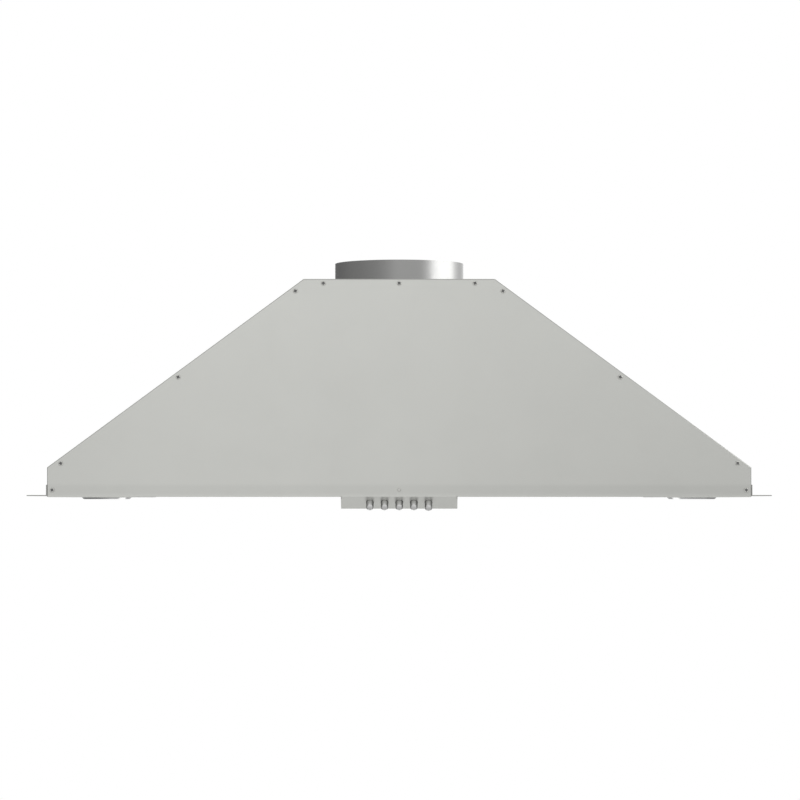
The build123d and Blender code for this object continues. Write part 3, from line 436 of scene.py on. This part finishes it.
def pan_head_screw(head_radius, head_height, shank_radius, shank_length):
    """A pan head screw that points up, its seat at the origin."""
    screw = add(bpy.ops.mesh.primitive_cylinder_add, vertices=36, radius=head_radius, depth=head_height,
                location=(0, 0, head_height / 2))
    pick(screw, "edges", lambda edge: height_of(edge) > head_height * 0.49)
    bpy.ops.mesh.bevel(offset=head_height * 0.8, segments=5, profile=0.5, affect="EDGES")
    pick(screw, "faces", lambda face: face.normal.z < -0.9)
    bpy.ops.mesh.inset(thickness=head_radius - shank_radius)
    bpy.ops.mesh.extrude_region_move(TRANSFORM_OT_translate={"value": (0, 0, -shank_length)})
    end_shaping(screw)
    recess = cross_cutter(head_radius * 1.1, head_radius * 0.32, head_height * 0.85, head_height)
    cut_with(screw, recess)
    screw.data.materials.append(screw_steel)
    screw.data.materials.append(screw_recess_shade)
    # Faces inside the recess of a larger head take the painted recess shade.
    for face in screw.data.polygons:
        middle = face.center
        in_recess = (math.hypot(middle.x, middle.y) < head_radius * 0.63
                     and 0 < middle.z < head_height * 0.97)
        face.material_index = 1 if in_recess and head_radius > SMALL_HEAD else 0
    end_shaping(screw)
    return screw


def screws_in(name, way, stand, first_turn):
    """Puts a finer screw in the place of each screw of a CAD node.

    The heads face that way and stand that far off their seat. Those of the flanges face outward on both
    sides.
    """
    axis = max(range(3), key=lambda number: abs(way[number]))
    side = (axis + 1) % 3
    models = {}
    for number, (low, high) in enumerate(separate_boxes(name)):
        outward = Vector(way)
        if name == "flange_screws" and low[axis] < 0:
            outward = -outward
        seat = Vector([(low[k] + high[k]) / 2 for k in range(3)])
        seat[axis] = (high[axis] if outward[axis] > 0 else low[axis]) - outward[axis] * stand
        head_radius = round((high[side] - low[side]) / 2, 5)
        if head_radius not in models:
            shank_length = high[axis] - low[axis] - stand
            models[head_radius] = pan_head_screw(head_radius, stand * 0.8, head_radius * SHANK_SHARE,
                                                 shank_length)
        turn = outward.to_track_quat("Z", "Y").to_matrix().to_4x4()
        spin = Matrix.Rotation(math.radians(first_turn + number * TURN_STEP), 4, "Z")
        place = Matrix.Translation(seat) @ turn @ spin
        copied(models[head_radius], f"{name[:-1]}_{number + 1:02d}", place, "hood", name)
    for model in models.values():
        bpy.data.objects.remove(model, do_unlink=True)


screws_in("front_screws", way=(0, -1, 0), stand=0.0022, first_turn=5)
screws_in("flange_screws", way=(1, 0, 0), stand=0.0016, first_turn=12)
screws_in("collar_screws", way=(0, 0, 1), stand=0.0018, first_turn=30)
screws_in("blower_screws", way=(0, 0, 1), stand=0.0022, first_turn=8)

# Lamps: a turned ring with a sloping side, and a lens with ribs in circles
ring_low, ring_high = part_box("lamp_bezel_right")
lens_low, lens_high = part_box("lamp_lens_right")
panel_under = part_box("right_lamp_panel")[0][2]
lamp_x = (ring_low[0] + ring_high[0]) / 2
lamp_y = (ring_low[1] + ring_high[1]) / 2
ring_radius = (ring_high[0] - ring_low[0]) / 2
lens_radius = (lens_high[0] - lens_low[0]) / 2
window_radius = 0.029


def narrow_to(height, factor):
    """Narrows the picked face of a lamp piece about the lamp's middle."""
    bpy.ops.transform.resize(value=(factor, factor, 1), center_override=(lamp_x, lamp_y, height))


def lamp_ring():
    """The ring round a lamp: thin edge, sloping side, rounded lip, window and sleeve."""
    edge = 0.0005
    foot_radius = 0.0362
    lip = 0.0005
    flat = 0.0022
    groove = 0.0004
    groove_depth = 0.0002
    hole_radius = 0.033
    ring = add(bpy.ops.mesh.primitive_cylinder_add, vertices=96, radius=ring_radius, depth=edge,
               location=(lamp_x, lamp_y, panel_under - edge / 2))
    pick(ring, "faces", lambda face: face.normal.z < -0.9)
    bpy.ops.mesh.extrude_region_move(
        TRANSFORM_OT_translate={"value": (0, 0, ring_low[2] - panel_under + edge)})
    narrow_to(ring_low[2], foot_radius / ring_radius)
    pick(ring, "edges", lambda line: height_of(line) < ring_low[2] + 0.0001)
    bpy.ops.mesh.bevel(offset=lip, segments=4, profile=0.5, affect="EDGES")
    pick(ring, "faces", lambda face: face.normal.z < -0.9)
    bpy.ops.mesh.inset(thickness=flat)
    bpy.ops.mesh.inset(thickness=groove, depth=-groove_depth)
    bpy.ops.mesh.inset(thickness=foot_radius - lip - flat - groove - window_radius)
    pick(ring, "faces", lambda face: face.normal.z > 0.9
         and face.calc_center_median().z > panel_under - 0.0001)
    bpy.ops.mesh.inset(thickness=ring_radius - hole_radius)
    bpy.ops.mesh.extrude_region_move(TRANSFORM_OT_translate={"value": (0, 0, ring_high[2] - panel_under)})
    bpy.ops.mesh.inset(thickness=hole_radius - lens_radius)
    bpy.ops.mesh.extrude_region_move(TRANSFORM_OT_translate={"value": (0, 0, lens_low[2] - ring_high[2])})
    bpy.ops.mesh.inset(thickness=lens_radius - window_radius)
    pick(ring, "faces", lambda face: len(face.verts) > 90)
    bpy.ops.mesh.bridge_edge_loops()
    end_shaping(ring)
    return ring


def ribbed_lens():
    """The lamp's lens, with sawtooth ribs in circles round a plain, slightly domed middle."""
    thickness = lens_high[2] - lens_low[2]
    rim_radius = lens_radius - 0.0002
    margin = 0.0006
    rib_count = 10
    rib_slope = 0.0015
    rib_back = 0.0003
    rib_depth = 0.0006
    middle_step = 0.0008
    middle_dome = 0.004
    lens = add(bpy.ops.mesh.primitive_cylinder_add, vertices=96, radius=rim_radius, depth=thickness,
               location=(lamp_x, lamp_y, lens_low[2] + thickness / 2))
    pick(lens, "faces", lambda face: face.normal.z < -0.9)
    bpy.ops.mesh.inset(thickness=rim_radius - window_radius + margin)
    for rib in range(rib_count):
        bpy.ops.mesh.inset(thickness=rib_slope, depth=-rib_depth)
        bpy.ops.mesh.inset(thickness=rib_back, depth=rib_depth)
    bpy.ops.mesh.inset(thickness=middle_step, depth=-rib_depth)
    bpy.ops.mesh.inset(thickness=middle_dome, depth=rib_depth / 2)
    end_shaping(lens, smooth=20)
    return lens


ring_model = lamp_ring()
ring_model.data.materials.append(bezel_steel)
lens_model = ribbed_lens()
lens_model.data.materials.append(lens_glass)
for side in ("left", "right"):
    shift = Matrix.Translation((-2 * lamp_x if side == "left" else 0, 0, 0))
    copied(ring_model, f"lamp_ring_{side}", shift, "hood", f"lamp_bezel_{side}")
    copied(lens_model, f"ribbed_lens_{side}", shift, "hood", f"lamp_lens_{side}")
bpy.data.objects.remove(ring_model, do_unlink=True)
bpy.data.objects.remove(lens_model, do_unlink=True)

# Light, with cards that stand or lie round the hood's middle
MIDDLE_Y = -0.24


def white_world():
    """Plain white round the hood, and a little dimmer as a light on it."""
    world = bpy.data.worlds.new("studio")
    scene.world = world
    world.use_nodes = True
    tree = world.node_tree
    paths = put(tree, "ShaderNodeLightPath")
    seen = maths(tree, "MAXIMUM", paths.outputs["Is Camera Ray"], paths.outputs["Is Glossy Ray"])
    seen = maths(tree, "MAXIMUM", seen, paths.outputs["Is Transmission Ray"])
    background = tree.nodes["Background"]
    background.inputs["Color"].default_value = (1, 1, 1, 1)
    tree.links.new(spread(tree, seen, 0.8, 1.0), background.inputs["Strength"])


def softbox(name, place, target, width, height, power):
    """A soft rectangular lamp that faces the target."""
    lamp = bpy.data.lights.new(name, "AREA")
    lamp.shape = "RECTANGLE"
    lamp.size = width
    lamp.size_y = height
    lamp.energy = power
    holder = bpy.data.objects.new(name, lamp)
    holder.location = place
    holder.rotation_mode = "QUATERNION"
    holder.rotation_quaternion = (Vector(target) - Vector(place)).to_track_quat("-Z", "Y")
    scene.collection.objects.link(holder)


def toned_card(name, rims, tones):
    """A card out of the camera's sight that shows the metal a given tone at each of its rims."""
    mesh = bpy.data.meshes.new(name)
    mesh.from_pydata([corner for rim in rims for corner in rim], [],
                     [(2 * k, 2 * k + 1, 2 * k + 3, 2 * k + 2) for k in range(len(rims) - 1)])
    tone = mesh.attributes.new("tone", "FLOAT", "POINT")
    tone.data.foreach_set("value", [value for value in tones for corner in range(2)])
    card = bpy.data.objects.new(name, mesh)
    scene.collection.objects.link(card)
    card.visible_camera = False
    card.visible_shadow = False
    card.visible_diffuse = False
    material, tree, shader = new_finish(name)
    shown = put(tree, "ShaderNodeAttribute", attribute_name="tone")
    glow = put(tree, "ShaderNodeEmission", {"Color": (1, 1, 1, 1), "Strength": shown.outputs["Fac"]})
    tree.links.new(glow.outputs["Emission"], tree.nodes["Material Output"].inputs["Surface"])
    mesh.materials.append(material)


def round_card(name, distance, low, high, tones):
    """A card bent round the hood, with its tone given at turns in degrees from the front to the right."""
    rims = []
    for turn in map(math.radians, tones):
        x = distance * math.sin(turn)
        y = MIDDLE_Y - distance * math.cos(turn)
        rims.append([(x, y, low), (x, y, high)])
    toned_card(name, rims, tones.values())


def floor_card(name, height, front, back, tones):
    """A card that lies under the hood, with its tone given at places from left to right."""
    toned_card(name, [[(x, y, height) for y in (front, back)] for x in tones], tones.values())


def pale_floor(height, half):
    """A floor that is pale near the hood, white further away, and clear from below."""
    mesh = bpy.data.meshes.new("floor")
    mesh.from_pydata([(-half, -half, height), (half, -half, height), (half, half, height),
                      (-half, half, height)], [], [(0, 1, 2, 3)])
    floor = bpy.data.objects.new("floor", mesh)
    scene.collection.objects.link(floor)
    material, tree, shader = new_finish("pale_floor")
    mesh.materials.append(material)
    feed(tree, shader, Roughness=0.9, Base_Color=(0.9, 0.9, 0.9, 1), Specular_IOR_Level=0.1)
    white = put(tree, "ShaderNodeEmission", {"Color": (1, 1, 1, 1), "Strength": 1.0})
    clear = put(tree, "ShaderNodeBsdfTransparent")
    away = put(tree, "ShaderNodeVectorMath", {0: piece_space(tree)}, operation="LENGTH").outputs["Value"]
    paths = put(tree, "ShaderNodeLightPath")
    mirrored = maths(tree, "MAXIMUM", paths.outputs["Is Glossy Ray"], paths.outputs["Is Transmission Ray"])
    far = maths(tree, "MAXIMUM", spread(tree, away, 0.0, 1.0, over=(3.0, 7.0)),
                maths(tree, "MULTIPLY", mirrored, 0.7))
    lit = put(tree, "ShaderNodeMixShader", {0: far, 1: shader.outputs["BSDF"], 2: white.outputs["Emission"]})
    below = put(tree, "ShaderNodeNewGeometry").outputs["Backfacing"]
    both = put(tree, "ShaderNodeMixShader", {0: below, 1: lit.outputs["Shader"], 2: clear.outputs["BSDF"]})
    tree.links.new(both.outputs["Shader"], tree.nodes["Material Output"].inputs["Surface"])


white_world()
softbox("softbox_top", place=(-0.5, 0.7, 3.2), target=(0, MIDDLE_Y, 0.2), width=2.6, height=2.0, power=6)
round_card("card_left", distance=3.2, low=0.1, high=1.0, tones={
    -8: 0.97, -16: 0.86, -25: 0.74, -37: 0.64, -49: 0.58, -73: 0.51, -97: 0.46, -113: 0.40, -129: 0.33,
    -150: 0.24, -170: 0.22})
round_card("softbox_right", distance=0.9, low=0.345, high=0.47, tones={
    33: 1.0, 39: 1.08, 46: 1.4, 53: 2.05, 60: 3.3, 70: 3.8, 85: 3.8, 97: 3.7, 105: 3.1, 113: 2.0, 122: 1.5,
    131: 1.15, 145: 1.0})
floor_card("floor_card_wide", height=-1.5, front=-0.7, back=9.0, tones={
    -3.6: 0.30, -1.6: 0.32, -1.0: 0.40, -0.75: 0.48, -0.44: 0.66, -0.2: 0.80, 0.2: 0.80, 0.44: 0.72,
    0.6: 0.66, 0.9: 0.68, 1.2: 0.66, 1.8: 0.40, 3.6: 0.36})
floor_card("floor_card_middle", height=-1.4, front=0.14, back=1.3, tones={
    -0.75: 0.6, -0.6: 2.2, -0.2: 2.2, -0.1: 0.8, 0.1: 0.8, 0.2: 2.2, 0.6: 2.2, 0.75: 0.6})
pale_floor(height=-1.6, half=60.0)
